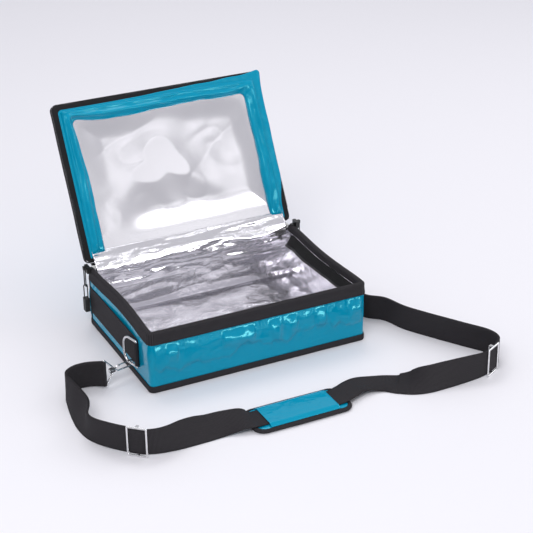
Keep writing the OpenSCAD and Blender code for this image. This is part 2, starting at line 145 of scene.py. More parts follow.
def make_object(name, points, faces, uvs, material):
    mesh = bpy.data.meshes.new(name)
    mesh.from_pydata([tuple(p) for p in points * MM], [], faces)
    layer = mesh.uv_layers.new(name="UVMap")
    index = np.empty(len(mesh.loops), np.int64)
    mesh.loops.foreach_get("vertex_index", index)
    layer.data.foreach_set("uv", (uvs[index] * MM).ravel())
    bm = bmesh.new()
    bm.from_mesh(mesh)
    bmesh.ops.recalc_face_normals(bm, faces=bm.faces)
    bm.to_mesh(mesh)
    bm.free()
    mesh.polygons.foreach_set("use_smooth", [True] * len(mesh.polygons))
    mesh.materials.append(material)
    obj = bpy.data.objects.new(name, mesh)
    bpy.context.scene.collection.objects.link(obj)
    return obj


def grid_lengths(points, axis):
    """Distance along each row or column of a grid of points."""
    step = np.linalg.norm(np.diff(points, axis=axis), axis=2)
    first = np.zeros_like(np.take(step, [0], axis=axis))
    return np.cumsum(np.concatenate([first, step], axis=axis), axis=axis)


def sheet(name, points, thickness, material, loop=False):
    """Closed skin of one thickness about a grid of points, joined end to end if loop."""
    grid = np.asarray(points, float)
    rows, cols = grid.shape[:2]
    if loop:
        du = np.roll(grid, -1, 0) - np.roll(grid, 1, 0)
    else:
        du = np.gradient(grid, axis=0)
    normal = np.cross(du, np.gradient(grid, axis=1))
    normal /= np.maximum(np.linalg.norm(normal, axis=2, keepdims=True), 1e-9)
    half = normal * thickness / 2
    both = np.concatenate([(grid + half).reshape(-1, 3), (grid - half).reshape(-1, 3)])
    u, v = grid_lengths(grid, 0), grid_lengths(grid, 1)
    u = np.repeat(u.mean(1)[:, None], cols, 1)
    uvs = np.stack([u, v], 2).reshape(-1, 2)
    uvs = np.concatenate([uvs, uvs])
    n = rows * cols
    faces = []
    for i in range(rows if loop else rows - 1):
        k = (i + 1) % rows
        for j in range(cols - 1):
            a, b, c, d = i * cols + j, i * cols + j + 1, k * cols + j + 1, k * cols + j
            faces += [(a, b, c, d), (d + n, c + n, b + n, a + n)]
        for j in (0, cols - 1):
            a, d = i * cols + j, k * cols + j
            faces.append((a, d, d + n, a + n))
    if not loop:
        for i in (0, rows - 1):
            for j in range(cols - 1):
                a, b = i * cols + j, i * cols + j + 1
                faces.append((a, b, b + n, a + n))
    return make_object(name, both, faces, uvs, material)


def on_lid(points):
    """Turns points from the closed lid to where it stands open."""
    p = np.asarray(points, float).copy()
    y, z = p[..., 1] - HINGE_Y, p[..., 2] - HINGE_Z
    c, s = math.cos(-LID_OPEN), math.sin(-LID_OPEN)
    p[..., 1], p[..., 2] = HINGE_Y + y * c - z * s, HINGE_Z + y * s + z * c
    return p


# ------------------------------------------------------------------ the bag's outline

FRONT_RUN = (0, 1, 2, 3, 4)
BACK_RUN = (5, 6, 7)
ROUND = (0, 1, 2, 3, 4, 5, 6, 7)


class Run:
    """Places along the bag's outline: the sides and corners named by their numbers, from
    the rear left corner round the front."""

    def __init__(self, parts, fine=2.5, y_end=HALF_D - CORNER, loop=False):
        self.side, self.t, self.y_end = [], [], y_end
        for k, part in enumerate(parts):
            straight = {0: y_end + HALF_D, 4: y_end + HALF_D, 2: 2 * HALF_W, 6: 2 * HALF_W}
            count = 7 if part % 2 else max(2, int(straight[part] / fine))
            last = k == len(parts) - 1 and not loop
            t = np.linspace(0, 1, count + 1)[: None if last else -1]
            self.side += [part] * len(t)
            self.t += list(t)
        self.side, self.t = np.array(self.side)[:, None], np.array(self.t)[:, None]
        xy = self.at(np.zeros((len(self.t), 1)))[:, 0]
        self.s = arc_length(xy)[:, None]

    def at(self, inset):
        """Points of the outline set in by inset, an array with one row for each place."""
        r = np.maximum(CORNER, inset + 0.5)
        cx, cy, rr = HALF_W - r, HALF_D - r, r - inset
        rear = np.minimum(self.y_end, cy) if self.y_end <= HALF_D - CORNER else cy
        x, y = np.zeros_like(inset), np.zeros_like(inset)
        t = np.broadcast_to(self.t, inset.shape)
        side = np.broadcast_to(self.side, inset.shape)
        plan = {
            0: (-(HALF_W - inset), lerp(rear, -cy, t)),
            2: (lerp(-cx, cx, t), -(HALF_D - inset)),
            4: (HALF_W - inset, lerp(-cy, rear, t)),
            6: (lerp(cx, -cx, t), HALF_D - inset),
        }
        corners = {1: (-1, -1, 180), 3: (1, -1, 270), 5: (1, 1, 0), 7: (-1, 1, 90)}
        for k, (sx, sy, start) in corners.items():
            turn = np.radians(start + 90 * t)
            plan[k] = (sx * cx + rr * np.cos(turn), sy * cy + rr * np.sin(turn))
        for k, (px, py) in plan.items():
            x, y = np.where(side == k, px, x), np.where(side == k, py, y)
        return np.stack([x, y], -1)

    def wall(self, inset, z):
        inset, z = np.broadcast_arrays(np.asarray(inset, float), np.asarray(z, float))
        return np.concatenate([self.at(inset), z[..., None]], -1)


def bowed(points):
    """The side walls sag in a little towards their top edges."""
    p = points.copy()
    y, z = p[..., 1], p[..., 2]
    share = np.clip((y - SAG_FRONT) / (SAG_REAR - SAG_FRONT), 0, 1)
    along = np.sin(np.pi * share) ** 1.4
    amount = WALL_SAG * smooth((z - 30) / 78) * along * smooth((np.abs(p[..., 0]) - 120) / 60)
    p[..., 0] -= np.sign(p[..., 0]) * amount
    return p


# ------------------------------------------------------------------ materials


def new_material(name, **values):
    m = bpy.data.materials.new(name)
    m.use_nodes = True
    shader = m.node_tree.nodes["Principled BSDF"]
    for key, value in values.items():
        shader.inputs[key.replace("_", " ")].default_value = value
    return m, shader


def add_bump(m, shader, height, strength, distance):
    node = m.node_tree.nodes.new("ShaderNodeBump")
    node.inputs["Strength"].default_value = strength
    node.inputs["Distance"].default_value = distance
    m.node_tree.links.new(height, node.inputs["Height"])
    m.node_tree.links.new(node.outputs["Normal"], shader.inputs["Normal"])


def noise_node(m, scale, detail, distortion):
    tree = m.node_tree
    place = tree.nodes.new("ShaderNodeTexCoord")
    node = tree.nodes.new("ShaderNodeTexNoise")
    node.inputs["Scale"].default_value = scale
    node.inputs["Detail"].default_value = detail
    node.inputs["Distortion"].default_value = distortion
    tree.links.new(place.outputs["Object"], node.inputs["Vector"])
    return node.outputs["Fac"]


def math_node(m, operation, a, b=0.0):
    node = m.node_tree.nodes.new("ShaderNodeMath")
    node.operation = operation
    for socket, value in zip(node.inputs, (a, b)):
        if isinstance(value, (int, float)):
            socket.default_value = value
        else:
            m.node_tree.links.new(value, socket)
    return node.outputs[0]


def glossy_fabric(name, color):
    """Coated PVC fabric, whose reflections keep some of its own teal."""
    m, shader = new_material(
        name, Base_Color=(*color, 1), Roughness=0.13, IOR=1.5, Specular_Tint=(0.3, 1.0, 0.95, 1)
    )
    add_bump(m, shader, noise_node(m, 60, 2.0, 0.6), 0.35, 0.0016)
    return m


def foil_film(name, roughness, scale, strength, tone=0.76):
    """Silver film; tone is how much light it gives back."""
    m, shader = new_material(
        name, Base_Color=(tone, 0.985 * tone, 1.035 * tone, 1), Metallic=1.0, Roughness=roughness
    )
    add_bump(m, shader, noise_node(m, scale, 3.0, 0.8), strength, 0.002)
    return m


def webbing(name, axis=None, rib=0.0019, color=(0.020, 0.018, 0.021)):
    """Woven tape with ribs across it: along the mesh's own UV, or an axis of the frame. The ribs'
    crests carry a painted sheen and their grooves painted shading.
    """
    yarn = 0.0031
    m, shader = new_material(name, Roughness=0.72, Specular_IOR_Level=0.22)
    tree = m.node_tree
    place = tree.nodes.new("ShaderNodeTexCoord")
    split = tree.nodes.new("ShaderNodeSeparateXYZ")
    tree.links.new(place.outputs["UV" if axis is None else "Object"], split.inputs[0])
    along = split.outputs[0 if axis is None else "XYZ".index(axis)]
    across = split.outputs[1 if axis is None else ("XYZ".index(axis) + 1) % 3]
    wave = math_node(m, "SINE", math_node(m, "MULTIPLY", along, 2 * math.pi / rib))
    cross = math_node(m, "SINE", math_node(m, "MULTIPLY", across, 2 * math.pi / yarn))
    height = math_node(m, "ADD", wave, math_node(m, "MULTIPLY", cross, 0.3))
    add_bump(m, shader, height, 0.8, 0.0003)
    # painted sheen on the ribs' crests and painted shading in their grooves: the colour follows the
    # bump's wave
    rib_sheen_and_shade = math_node(m, "MULTIPLY", math_node(m, "ADD", wave, 1.6), 0.38)
    mix = tree.nodes.new("ShaderNodeMix")
    mix.data_type = "RGBA"
    mix.inputs["A"].default_value = (*[c * 0.45 for c in color], 1)
    mix.inputs["B"].default_value = (*[c * 1.7 for c in color], 1)
    tree.links.new(rib_sheen_and_shade, mix.inputs["Factor"])
    tree.links.new(mix.outputs["Result"], shader.inputs["Base Color"])
    return m


def metal(name, color, roughness):
    return new_material(name, Base_Color=(*color, 1), Metallic=1.0, Roughness=roughness)[0]


def plain(name, color, roughness):
    return new_material(name, Base_Color=(*color, 1), Roughness=roughness)[0]


BLUE = glossy_fabric("blue_pvc", (0.0, 0.285, 0.46))
# the same silver film as FOIL_CRUMPLED, given a lower tone: painted shade that greys the lid foil's
# reflections
FOIL_SHADED = foil_film("foil", 0.27, 14, 0.12, tone=0.64)
FOIL_CRUMPLED = foil_film("foil_crumpled", 0.22, 45, 0.7)
WEBBING = webbing("webbing_uv")
WEBBING_Y = webbing("webbing_y", axis="Y")
WEBBING_X = webbing("webbing_x", axis="X")
WEBBING_Z = webbing("webbing_z", axis="Z")
TAPE = webbing("zip_tape", rib=0.0012, color=(0.012, 0.012, 0.013))
TEETH = plain("zip_teeth", (0.02, 0.02, 0.022), 0.28)
BLACK_METAL = plain("black_metal", (0.015, 0.015, 0.016), 0.3)
RUBBER = plain("rubber_tag", (0.018, 0.018, 0.019), 0.6)
NICKEL = metal("nickel", (0.74, 0.74, 0.75), 0.16)
DARK_METAL = metal("dark_metal", (0.12, 0.12, 0.13), 0.3)
FOAM = plain("foam", (0.8, 0.8, 0.78), 0.9)
BOARD = plain("board", (0.05, 0.05, 0.055), 0.8)

BY_SLOT = {
    "blue_pvc": BLUE, "foil": FOIL_SHADED, "foam": FOAM, "board": BOARD, "webbing": WEBBING_Y,
    "zip_tape": TAPE, "zip_teeth": TEETH, "black_metal": BLACK_METAL, "rubber_tag": RUBBER,
    "nickel": NICKEL, "dark_metal": DARK_METAL,
}
for part in frame["record"]["subparts"]:
    node = nodes[part["node"]]
    node.data.materials.clear()
    node.data.materials.append(BY_SLOT[part["material_slot"]])
for name in ("corner_binding_left", "corner_binding_right"):
    nodes[name].data.materials[0] = WEBBING_Z


# ------------------------------------------------------------------ camera

LENS, SENSOR = 101.3, 36.0
CAMERA_AT = (-0.9504, -2.1042, 1.2574)
AZIMUTH, ELEVATION, ROLL = math.radians(-26.095), math.radians(26.167), math.radians(-0.72)


def add_camera():
    camera = bpy.data.objects.new("camera", bpy.data.cameras.new("camera"))
    camera.data.sensor_width = SENSOR
    camera.data.lens = LENS
    camera.location = CAMERA_AT
    camera.rotation_mode = "QUATERNION"
    towards_camera = Vector((
        math.sin(AZIMUTH) * math.cos(ELEVATION),
        -math.cos(AZIMUTH) * math.cos(ELEVATION),
        math.sin(ELEVATION),
    ))
    facing = (-towards_camera).to_track_quat("-Z", "Y")
    camera.rotation_quaternion = facing @ Quaternion((0, 0, 1), ROLL)
    bpy.context.scene.collection.objects.link(camera)
    bpy.context.scene.camera = camera


add_camera()

# ------------------------------------------------------------------ shoulder strap

# Resting edge of the strap: x, y, lean (90 on edge, 0 flat) and height off the floor
ROUTE = np.array([
    [-257, -83.5, 90, LIFT], [-282, -71, 90, 2], [-306, -69, 90, 0], [-325, -85, 89, 0],
    [-333, -114, 76, 0], [-340, -155, 58, 0], [-342, -190, 66, 0], [-336, -224, 90, 0],
    [-316, -262, 91, 2], [-286, -298, 90, LIFT], [-264, -309, 90, 3], [-238, -312, 82, 1],
    [-208, -313, 62, 0], [-172, -313, 38, 0], [-142, -313, 28, 2], [-113, -319, 14, PAD_LIFT],
    [-90, -322, 0, PAD_LIFT], [-40, -322, 0, PAD_LIFT], [10, -322, 0, PAD_LIFT],
    [54, -322, 0, PAD_LIFT], [82, -314, 0, PAD_LIFT], [108, -305, 0, PAD_LIFT],
    [136, -308, 3, 2], [154, -323, 16, 0], [178, -339, 33, 0], [206, -346, 58, 0],
    [245, -346, 70, 0], [285, -346, 82, 2], [308, -344, 89, LIFT], [326, -337, 90, LIFT],
    [345, -325, 90, 3], [361, -305, 90, 1], [360, -276, 90, 0], [336, -236, 90, 0],
    [302, -180, 90, 0], [279, -138, 90, 0], [265, -95, 90, 0], [242, -71, 90, 0],
    [231, -40, 90, 1], [230, 10, 90, LIFT],
])
LEFT_ADJUSTER, RIGHT_ADJUSTER, LAST = 9, 29, len(ROUTE) - 1
SHORT_OF_BAR = 0.35  # in steps of the route
LAYER = WEB_T + 0.5  # between the middles of the two layers
RING_LOOP = 2 * (RING_WIRE / 2 + RING_GAP) + WEB_T


def route_at(u):
    """Smooth curve through the route's points; u counts them."""
    u = np.asarray(u, float)
    i = np.minimum(np.floor(u).astype(int), LAST - 1)
    t = (u - i)[:, None]
    p0, p1 = ROUTE[np.maximum(i - 1, 0)], ROUTE[i]
    p2, p3 = ROUTE[i + 1], ROUTE[np.minimum(i + 2, LAST)]
    return 0.5 * (
        2 * p1 + (p2 - p0) * t + (2 * p0 - 5 * p1 + 4 * p2 - p3) * t**2
        + (3 * p1 - p0 - 3 * p2 + p3) * t**3
    )


def strap_frame(u):
    """Foot, directions across the webbing and off its face, and heading at each place."""
    p = route_at(u)
    near = 0.05
    heading = (route_at(np.minimum(u + near, LAST)) - route_at(np.maximum(u - near, 0)))[:, :2]
    heading /= np.linalg.norm(heading, axis=1, keepdims=True)
    inward = np.stack([-heading[:, 1], heading[:, 0], np.zeros(len(heading))], 1)
    lean = np.radians(np.maximum(p[:, 2], 0))[:, None]
    up = np.array([[0.0, 0.0, 1.0]])
    across = inward * np.cos(lean) + up * np.sin(lean)
    height = np.clip(p[:, 3], 0, PAD_LIFT)[:, None] + WEB_T / 2 * np.abs(np.cos(lean))
    foot = np.concatenate([p[:, :2], height], 1)
    return foot, across, inward / np.maximum(np.sin(lean), 0.5), heading


def web_strip(node, u, offset, wrap=None):
    """Webbing along the places u, offset towards the bag, with points before it if wrap."""
    foot, across, inward, _ = strap_frame(u)
    foot = foot + inward * offset[:, None]
    if wrap is not None:
        foot, across = np.concatenate([wrap[0], foot]), np.concatenate([wrap[1], across])
    selvedge = 0.15
    w = np.linspace(selvedge, STRAP_W - selvedge, 13)
    grid = foot[:, None] + across[:, None] * w[None, :, None]
    obj = sheet(node + "_web", grid, WEB_T, WEBBING)
    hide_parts(node)
    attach(obj, "tub")
    return obj, (foot + across * STRAP_W / 2) * MM


def ring_wrap(end, steps=9):
    """Half turn of webbing round a strap ring's bar, from the long piece to the return."""
    place = np.array([float(end)])
    foot, across, inward, heading = strap_frame(place)
    away = -1.0 if end == 0 else 1.0
    out = np.array([heading[0, 0], heading[0, 1], 0.0]) * away
    radius = RING_LOOP / 2
    centre = foot[0] + inward[0] * radius
    turn = np.linspace(0, math.pi, steps + 1)[:-1]
    points = centre + radius * (np.outer(np.sin(turn), out) - np.outer(np.cos(turn), inward[0]))
    return points, np.repeat(across, steps, 0)


def return_offset(k):
    """Gap between the doubled end and the long piece, k steps of the route from the ring."""
    return LAYER + (RING_LOOP - LAYER) * np.exp(-1.6 * k)


fine = np.linspace(0, LAST, LAST * 10 + 1)
strap, strap_path = web_strip("strap", fine, np.zeros(len(fine)))
left = np.linspace(0, LEFT_ADJUSTER - SHORT_OF_BAR, 90)
return_left, left_path = web_strip(
    "strap_return_left", left, return_offset(left), ring_wrap(0))
right = np.linspace(LAST, RIGHT_ADJUSTER + SHORT_OF_BAR, 100)
return_right, right_path = web_strip(
    "strap_return_right", right, return_offset(LAST - right), ring_wrap(LAST))

# ------------------------------------------------------------------ tub


def add_wall_skin():
    """Front and sides: puckers hang from the rim webbing, above a wavering crest."""
    run = Run(FRONT_RUN, fine=1.8)
    s, z = run.s, np.linspace(1, 103, 60)[None, :]
    is_front = run.side == 2
    pucker_top, pucker_low = 85, 40 + 10 * wander(s, 20, 9)
    pucker = 5.6 * smooth(0.5 + 1.6 * wander(s, 17, 3))
    pucker = pucker * np.clip((pucker_top - z) / (17 + 4 * wander(s, 9, 10)), 0, 1)
    pucker = pucker * smooth((z - pucker_low) / 26)
    gathers = smooth((z - 60) / 26) * smooth((92 - z) / 4)
    pucker = pucker + 0.9 * gathers * noise(s / 6, z / 40, 4)
    above_crest = z - 42 - 11 * wander(s, 34, 5) - 6 * wander(s, 11, 6)
    swell = smooth((z - 6) / 20) * smooth((90 - z) / 20)
    bulge = 1.6 + 1.1 * noise(s / 70, z / 60, 7) + 1.7 * np.tanh(above_crest / 3.5)
    bulge = swell * (bulge + 0.9 * folds(s / 38, z / 24, 8))
    under_belt = ~is_front & (z > 16) & (z < 86)
    out = np.where(under_belt, 0.2, 1.0) * np.where(is_front, 1.0, 0.6) * (pucker + bulge)
    out = np.maximum(out, -0.2)
    skin = sheet("wall_skin", bowed(run.wall(SKIN_IN - out, z)), SKIN_T, BLUE)
    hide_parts("wall_shell", "foam_left", "foam_right")
    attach(skin, "tub")


def add_back_skin():
    """The back, flat where the hinge strip covers it."""
    run = Run(BACK_RUN, fine=3)
    s, z = run.s, np.linspace(1, 104, 44)[None, :]
    swell = smooth((z - 8) / 20) * smooth((84 - z) / 24)
    out = swell * (1.8 + 1.2 * noise(s / 60, z / 50, 17) + 0.6 * folds(s / 45, z / 30, 18))
    back = sheet("back_skin", run.wall(SKIN_IN - out, z), SKIN_T, BLUE)
    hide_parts("back_panel")
    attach(back, "tub")


def add_rim_band():
    """Rim webbing, folded over the walls' top edges."""
    run = Run(FRONT_RUN, fine=3)
    outside, inside, rows = 0.5, 9.9, 9
    fold_low, inner_low = 106, 97.5
    turn = np.linspace(math.pi, 0, 13)
    fold_inset = (inside + outside) / 2 + (inside - outside) / 2 * np.cos(turn)
    inset = np.concatenate([np.full(rows, outside), fold_inset, np.full(rows, inside)])[None, :]
    z = np.concatenate([
        np.linspace(RIM_LOW + 0.4, fold_low, rows),
        fold_low + 0.5 + 3.0 * np.sin(turn),
        np.linspace(fold_low, inner_low, rows),
    ])[None, :]
    wave = 0.5 * noise(run.s / 45, z / 30, 21) + 0.35 * noise(run.s / 15, z / 16, 22)
    outer_face = (inset < 3) * smooth((100 - z) / 10)
    band = bowed(run.wall(inset - outer_face * (0.9 + wave), z))
    rim = sheet("rim_band", band, BAND_T, WEBBING)
    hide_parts("rim_binding")
    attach(rim, "tub")


def add_base_band():
    """Base webbing, all the way round."""
    run = Run(ROUND, fine=4, loop=True)
    z = np.linspace(0.6, BASE_HIGH - 0.3, 9)[None, :]
    out = 0.9 * np.sin(np.pi * z / BASE_HIGH) + 0.25 * noise(run.s / 24, z / 20, 25)
    base = sheet("base_band", run.wall(0.5 - out, z), BAND_T, WEBBING, loop=True)
    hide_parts("base_binding")
    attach(base, "tub")


def add_lining():
    """Foil film on the walls and, as a second piece, on the floor."""
    run = Run(ROUND, fine=3, loop=True)
    s, z = run.s, np.linspace(9.3, 105, 46)[None, :]
    swell = smooth((z - 9) / 14) * smooth((110 - z) / 22)
    inward = swell * (1.3 + 0.8 * folds(s / 90, z / 22, 31, 2) + 0.9 * noise(s / 70, z / 40, 32))
    walls = bowed(run.wall(8.3 + np.maximum(inward, 0), z))
    lining = sheet("wall_lining", walls, FOIL_T, FOIL_CRUMPLED, loop=True)
    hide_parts("liner")
    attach(lining, "tub")

    half_w, half_d = HALF_W - 7, HALF_D - 7
    x, y = np.meshgrid(
        np.linspace(-half_w, half_w, 130), np.linspace(-half_d, half_d, 96), indexing="ij")
    rise = 1.0 * folds(x / 80, y / 52, 34, 2) + 1.8 * noise(x / 90, y / 60, 35)
    edge = np.minimum(half_w - np.abs(x), half_d - np.abs(y))
    z = 9.7 + np.maximum(1.2 + rise, 0) * smooth(edge / 18)
    floor_lining = sheet(
        "floor_lining", np.stack([x, y, z], -1), FOIL_T, FOIL_CRUMPLED)
    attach(floor_lining, "tub")


def teeth(name, line, across, size, pitch=2.6):
    """Row of separate moulded teeth along a line of points."""
    s_line = arc_length(line)
    places = np.arange(pitch / 2, s_line[-1], pitch)
    centre = along_line(line, s_line, places)
    side = along_line(across, s_line, places)
    ahead = along_line(line, s_line, places + 0.5) - centre
    ahead = np.where(np.linalg.norm(ahead, axis=1, keepdims=True) < 1e-6, [[0, 1, 0]], ahead)
    ahead /= np.linalg.norm(ahead, axis=1, keepdims=True)
    side /= np.linalg.norm(side, axis=1, keepdims=True)
    up = np.cross(ahead, side)
    corners = [(a, b, c) for a in (-1, 1) for b in (-1, 1) for c in (-1, 1)]
    quads = [(0, 1, 3, 2), (4, 6, 7, 5), (0, 4, 5, 1), (2, 3, 7, 6), (0, 2, 6, 4), (1, 5, 7, 3)]
    long, wide, tall = np.array(size) / 2
    points, faces = [], []
    for k in range(len(places)):
        for a, b, c in corners:
            points.append(centre[k] + ahead[k] * a * long + side[k] * b * wide + up[k] * c * tall)
        faces += [tuple(8 * k + i for i in quad) for quad in quads]
    points = np.array(points)
    return make_object(name, points, faces, np.zeros((len(points), 2)), TEETH)


def add_tub_zip():
    """Zip tape that hangs in from the rim, with its teeth along the lower edge."""
    run = Run(FRONT_RUN, fine=2.5, y_end=117)
    s, down = run.s, np.linspace(0, 1, 12)[None, :]
    lean_in = 4.5 + 3.0 * wander(s, 60, 41) + 2.0 * wander(s, 22, 42)
    lean_in = lean_in + 9 * bump(s, 95, 34) * (run.side == 0)
    lean_in = lean_in + 3.5 * (run.side == 4) + 2 * bump(s, 255, 22)
    inset = 9.9 + np.maximum(lean_in, 1.5) * down**1.2
    z = 95.4 - 19.5 * down + 0.06 * np.maximum(lean_in, 0) ** 1.5 * down
    grid = bowed(run.wall(inset, z))
    tape = sheet("zip_tape", grid, TAPE_T, TAPE)
    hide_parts("zip_tape_body")
    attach(tape, "tub")

    low, before = grid[:, -1], grid[:, -2]
    drop = (low - before) / np.linalg.norm(low - before, axis=1, keepdims=True)
    row = teeth("zip_teeth_row", low + drop * 1.2, drop, (1.7, 4.2, 2.2))
    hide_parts("zip_teeth_body")
    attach(row, "tub")


add_wall_skin()
add_back_skin()
add_rim_band()
add_base_band()
add_lining()
add_tub_zip()

# ------------------------------------------------------------------ lid, drawn closed

LID_TOP = HINGE_Z + LID_T


def add_lid_top():
    """Slightly puffed PVC over the lid's foam."""
    half_w, half_d, corner = HALF_W - SKIN_IN, HALF_D - SKIN_IN, CORNER - SKIN_IN
    x, across = np.meshgrid(
        np.linspace(-half_w, half_w, 220), np.linspace(-1, 1, 150), indexing="ij")
    past = np.maximum(np.abs(x) - (half_w - corner), 0)
    y = across * (half_d - corner + np.sqrt(np.maximum(corner**2 - past**2, 0)))
    ring = np.maximum(np.abs(x) / half_w, np.abs(y) / half_d)
    puff = 1.5 * (1 - ring**6) * (0.7 + 0.5 * noise(x / 80, y / 60, 51))
    puff = puff + 0.5 * (1 - ring**4) * folds(x / 50, y / 40, 52)
    grid = np.stack([x, y, LID_TOP - 1.4 + puff], -1)
    top = sheet("lid_top", on_lid(grid), SKIN_T, BLUE)
    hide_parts("lid_skin", "lid_foam")
    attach(top, "lid")


def add_lid_edge():
    """Webbing up the lid's side and a little way over its top."""
    run = Run(ROUND, fine=4, loop=True)
    turn = np.linspace(math.pi, math.pi / 2, 6)
    inset = np.concatenate([
        np.full(6, 0.5),
        2 + 1.5 * np.cos(turn),
        np.linspace(3, 10, 5),
    ])[None, :]
    z = np.concatenate([
        np.linspace(HINGE_Z + 0.2, LID_TOP - 2.4, 6),
        LID_TOP - 2 + 1.5 * np.sin(turn),
        np.full(5, LID_TOP - 0.4),
    ])[None, :]
    wave = 0.4 * noise(run.s / 40, z / 20, 54)
    band = on_lid(run.wall(inset - wave, z))
    lid_edge = sheet("lid_edge", band, BAND_T, WEBBING, loop=True)
    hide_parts("lid_binding")
    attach(lid_edge, "lid")


def add_lid_lining():
    """Foil film under the lid, hanging slack from its edges, with one crease across it."""
    half_w, half_d = HALF_W - 2, HALF_D - 2
    x, y = np.meshgrid(
        np.linspace(-half_w, half_w, 170), np.linspace(-half_d, half_d, 120), indexing="ij")
    slack = 4.5 + 5.0 * noise(x / 120 + 0.3, y / 95, 61) + 2.2 * noise(x / 60, y / 70, 62)
    slack = slack + 1.1 * folds(x / 90, y / 75, 63, 2)
    slack = slack - 3.0 * bump(x - 0.9 * y, 10, 30) * bump(y, 10, 60)
    edge = np.minimum(half_w - np.abs(x), half_d - np.abs(y))
    z = HINGE_Z - 0.3 - np.maximum(slack, 0) * smooth((edge - 30) / 45)
    lid_foil = sheet("lid_lining", on_lid(np.stack([x, y, z], -1)), FOIL_T, FOIL_SHADED)
    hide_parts("lid_liner")
    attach(lid_foil, "lid")


def border_line(inset, radius, rear=134.0):
    """U-shaped line on the lid's underside: up the left, across the front, down the right."""
    x, y = HALF_W - inset, HALF_D - inset
    arm = np.linspace(rear, -(y - radius), 90)[:-1]
    a = np.radians(np.linspace(180, 270, 17))
    left_arm = np.stack([np.full(len(arm), -x), arm], 1)
    bend = np.stack([-(x - radius) + radius * np.cos(a), -(y - radius) + radius * np.sin(a)], 1)
    across = np.linspace(-(x - radius), x - radius, 140)[1:-1]
    middle = np.stack([across, np.full(len(across), -y)], 1)
    half = np.concatenate([left_arm, bend])
    mirrored = half[::-1] * [-1, 1]
    return np.concatenate([half, middle, mirrored])


def add_lid_border():
    """Puffed PVC flap round three sides of the lid's underside."""
    outer, inner = border_line(10.5, 7.0), border_line(38.0, 10.0)
    w = np.linspace(0, 1, 26)[None, :]
    s = arc_length(lerp(outer, inner, 0.5))[:, None]
    to_end = s[-1, 0] - s
    reach = 1.0 + 0.08 * wander(s, 70, 71) + 0.02 * wander(s, 22, 72) - 0.22 * bump(s, 250, 26)
    # towards the right the border is pulled out over the lid's edge, most at the corner
    pull = smooth((s - 330) / 260) * smooth((to_end - 20) / 50)
    dog_ear = bump(s, 596, 20) + 0.25 * wander(s, 30, 77) * pull
    outer = outer + np.concatenate([10.5 * pull + 4.5 * dog_ear, -7.0 * pull - 5.5 * dog_ear], 1)
    xy = lerp(outer[:, None], inner[:, None], (w * reach)[..., None])
    dome = np.sin(np.pi * w) ** 0.55
    rope = 1 + 0.22 * np.sin(2 * np.pi * (2.2 * w + 0.45 * wander(s, 110, 73)))
    rope = rope + 0.20 * noise(s / 95, w * 6, 74) + 0.10 * noise(s / 34, w * 9, 75)
    rope = rope + 0.06 * folds(s / 40, w * 2.2, 76, 2)
    ends = smooth(s / 26) * smooth(to_end / 26)
    puff = 9.6 * dome * rope * lerp(0.55, 1.0, ends)
    # whatever hangs lower than the rim has to fit inside the tub's lining with the lid shut
    within = np.minimum(HALF_W - np.abs(xy[..., 0]), HALF_D - np.abs(xy[..., 1]))
    z = HINGE_Z - 0.9 - np.minimum(puff, lerp(0.4, 13.0, smooth((within - 13.5) / 6)))
    border = sheet("lid_border", on_lid(with_height(xy, z)), SKIN_T, BLUE)
    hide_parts("flap_left", "flap_front", "flap_right")
    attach(border, "lid")


def add_lid_zip():
    """The lid's half of the zip."""
    run = Run(ROUND, fine=3, loop=True)
    inset = np.linspace(1.0, 12.5, 5)[None, :]
    z = HINGE_Z - 0.6 - 0.3 * noise(run.s / 30, inset / 10, 81)
    lid_tape = sheet(
        "lid_zip_tape", on_lid(run.wall(inset, z)), LID_TAPE_T, TAPE, loop=True)
    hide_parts("zip_tape_lid")
    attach(lid_tape, "lid")

    run = Run(FRONT_RUN, fine=3, y_end=117)
    column = np.ones((len(run.s), 1))
    line, inner_line = (
        on_lid(run.wall(inset * column, HINGE_Z + 0.2)[:, 0]) for inset in (1.5, 2.5))
    lid_row = teeth("lid_zip_teeth", line, inner_line - line, (1.7, 3.4, 2.0))
    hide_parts("zip_teeth_lid")
    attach(lid_row, "lid")


add_lid_top()
add_lid_edge()
add_lid_lining()
add_lid_border()
add_lid_zip()

# ------------------------------------------------------------------ the fold between tub and lid


def fold_sheet(name, profile, half, material, amount, seed, node):
    """Crumpled sheet from the tub to the lid along a profile of (y, z) points."""
    profile = np.array(profile, float)
    at = arc_length(profile)
    v = np.linspace(0, at[-1], 46)
    y, z = along_line(profile, at, v).T
    for _ in range(3):
        y[1:-1] = (y[:-2] + 2 * y[1:-1] + y[2:]) / 4
        z[1:-1] = (z[:-2] + 2 * z[1:-1] + z[2:]) / 4
    gx, gv = np.meshgrid(np.linspace(-half, half, 170), v, indexing="ij")
    hold = smooth(gv / 12) * smooth((v[-1] - gv) / 10)
    crumple = 0.5 + 0.9 * folds(gx / 85, gv / 13, seed, 2) + 0.7 * noise(gx / 60, gv / 14, seed + 9)
    push = amount * hold * crumple
    ny, nz = -np.gradient(z), np.gradient(y)
    size = np.hypot(ny, nz)
    gy = y[None, :] + push * (ny / size)[None, :]
    gz = z[None, :] + push * (nz / size)[None, :]
    obj = sheet(name, np.stack([gx, gy, gz], -1), FOLD_T, material)
    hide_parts(node)
    return obj


gusset = fold_sheet(
    "gusset_fold", [(131.6, 58), (131.3, 84), (131.2, 103), (134, 112), (140.5, 119), (148, 131)],
    186, FOIL_CRUMPLED, 1.7, 91, "foil_gusset")
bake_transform(gusset)
outer_fold = fold_sheet(
    "hinge_fold", [(140.9, 88), (141.2, 104), (143, 110), (148, 109.6), (151.2, 107.6)],
    190, WEBBING_X, 0.3, 97, "hinge_strip")
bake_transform(outer_fold)

# ------------------------------------------------------------------ shoulder pad

PAD_MIDDLE = np.array([PAD_X, PAD_Y])


